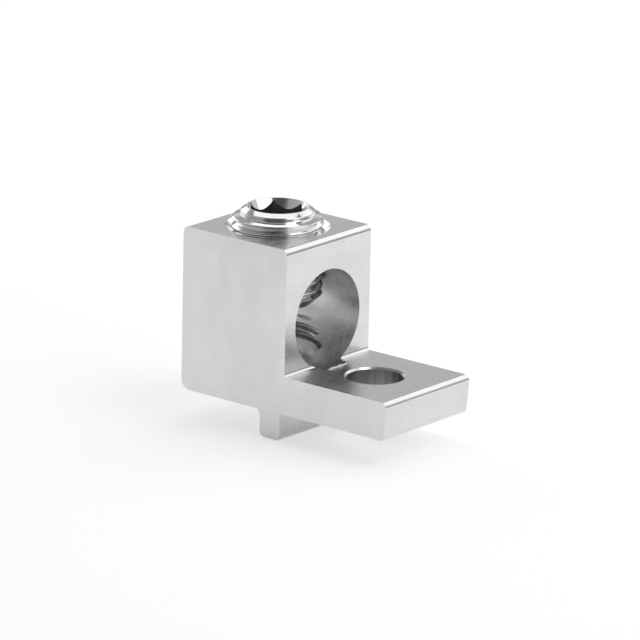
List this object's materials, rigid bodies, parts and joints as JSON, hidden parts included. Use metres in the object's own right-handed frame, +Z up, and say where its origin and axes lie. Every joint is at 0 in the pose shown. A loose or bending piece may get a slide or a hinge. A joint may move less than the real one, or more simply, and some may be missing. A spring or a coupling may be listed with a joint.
{
  "type": "terminal lug",
  "caption": "Mechanical terminal lug: a block with a wire bore crossed by a hexagon socket set screw, an anti-turn tang below, and a flat tongue with a stud hole.",
  "frame": {"origin": "centre of the stud hole on the underside of the tongue, the plane that seats on a bus bar", "axes": "+X towards the tip of the tongue, along the wire bore; +Y across the lug; +Z up, out of the stud hole and along the set screw"},
  "size_m": [0.0403, 0.0204, 0.0334],
  "materials": {
    "lug_aluminium": "tin plated, satin",
    "screw_aluminium": "tin plated, bright"
  },
  "bodies": {
    "lug": {"lug_body": "lug_aluminium"},
    "screw": {"set_screw": "screw_aluminium"}
  },
  "joints": [
    {"name": "screw_travel", "type": "slide", "parent": "lug", "child": "screw", "axis": [0, 0, 1], "range_m": [-0.00847, 0.00706]}
  ]
}
